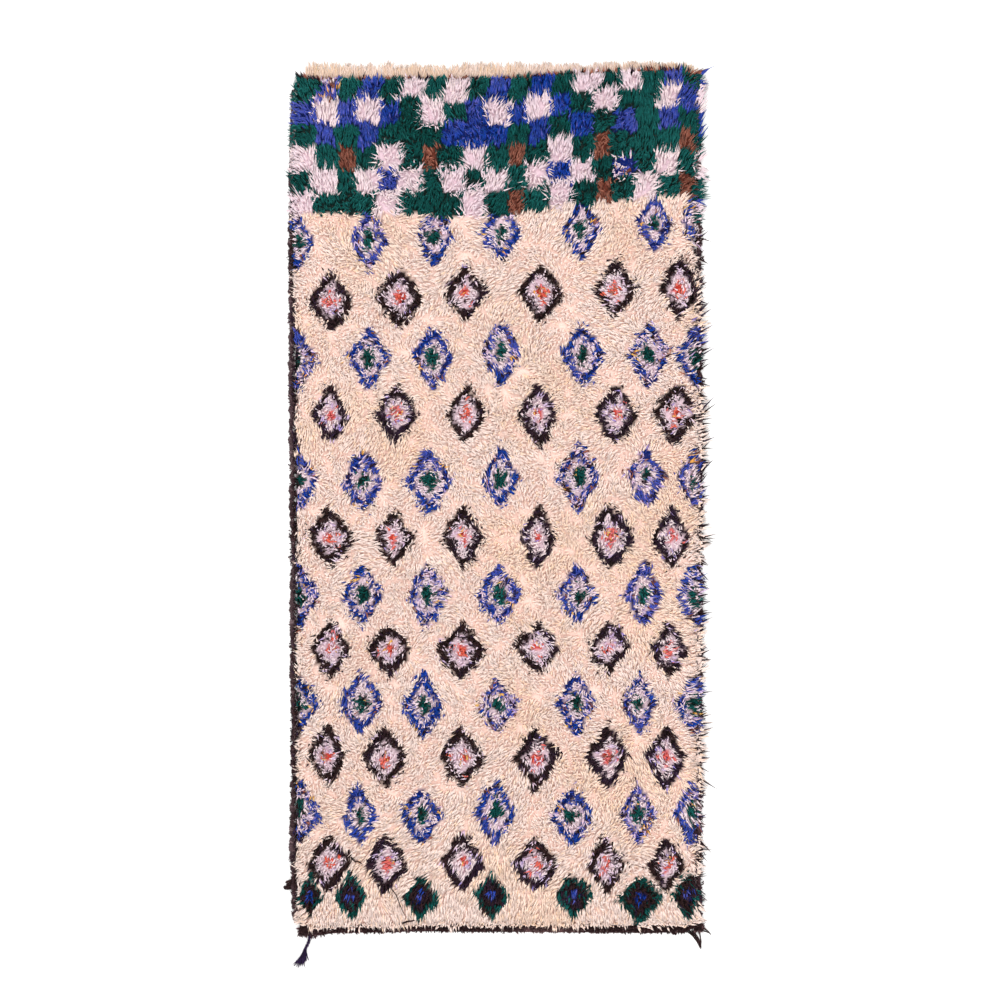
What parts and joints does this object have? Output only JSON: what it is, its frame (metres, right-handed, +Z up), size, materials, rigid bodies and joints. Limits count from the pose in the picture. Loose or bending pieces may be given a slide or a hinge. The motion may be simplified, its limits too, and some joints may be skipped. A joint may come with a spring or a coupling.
{
  "type": "berber rug",
  "caption": "A hand-knotted berber shag rug of cream wool with blue and dark diamonds, a checked panel at one end, dark edges, a woven end band and a corner tassel.",
  "frame": {"origin": "on the flat underside, near the middle of the ground cloth, at the mount underside", "axes": "+X goes across the rug, +Y goes along it to the end with the checked panel and the fringe, +Z is up out of the pile"},
  "size_m": [1.2067, 2.5839, 0.0388],
  "materials": {
    "wool_pile": "soft matt wool pile",
    "edge_yarn": "matt overcast wool yarn",
    "fringe_warp": "matt twisted wool warp",
    "band_yarn": "matt flat-woven wool",
    "tassel_yarn": "matt twisted wool"
  },
  "bodies": {
    "root": {"pile_rug": "wool_pile", "selvedge_left": "edge_yarn", "selvedge_right": "edge_yarn", "warp_fringe": "fringe_warp", "end_band": "band_yarn", "corner_tassel": "tassel_yarn"}
  },
  "joints": []
}
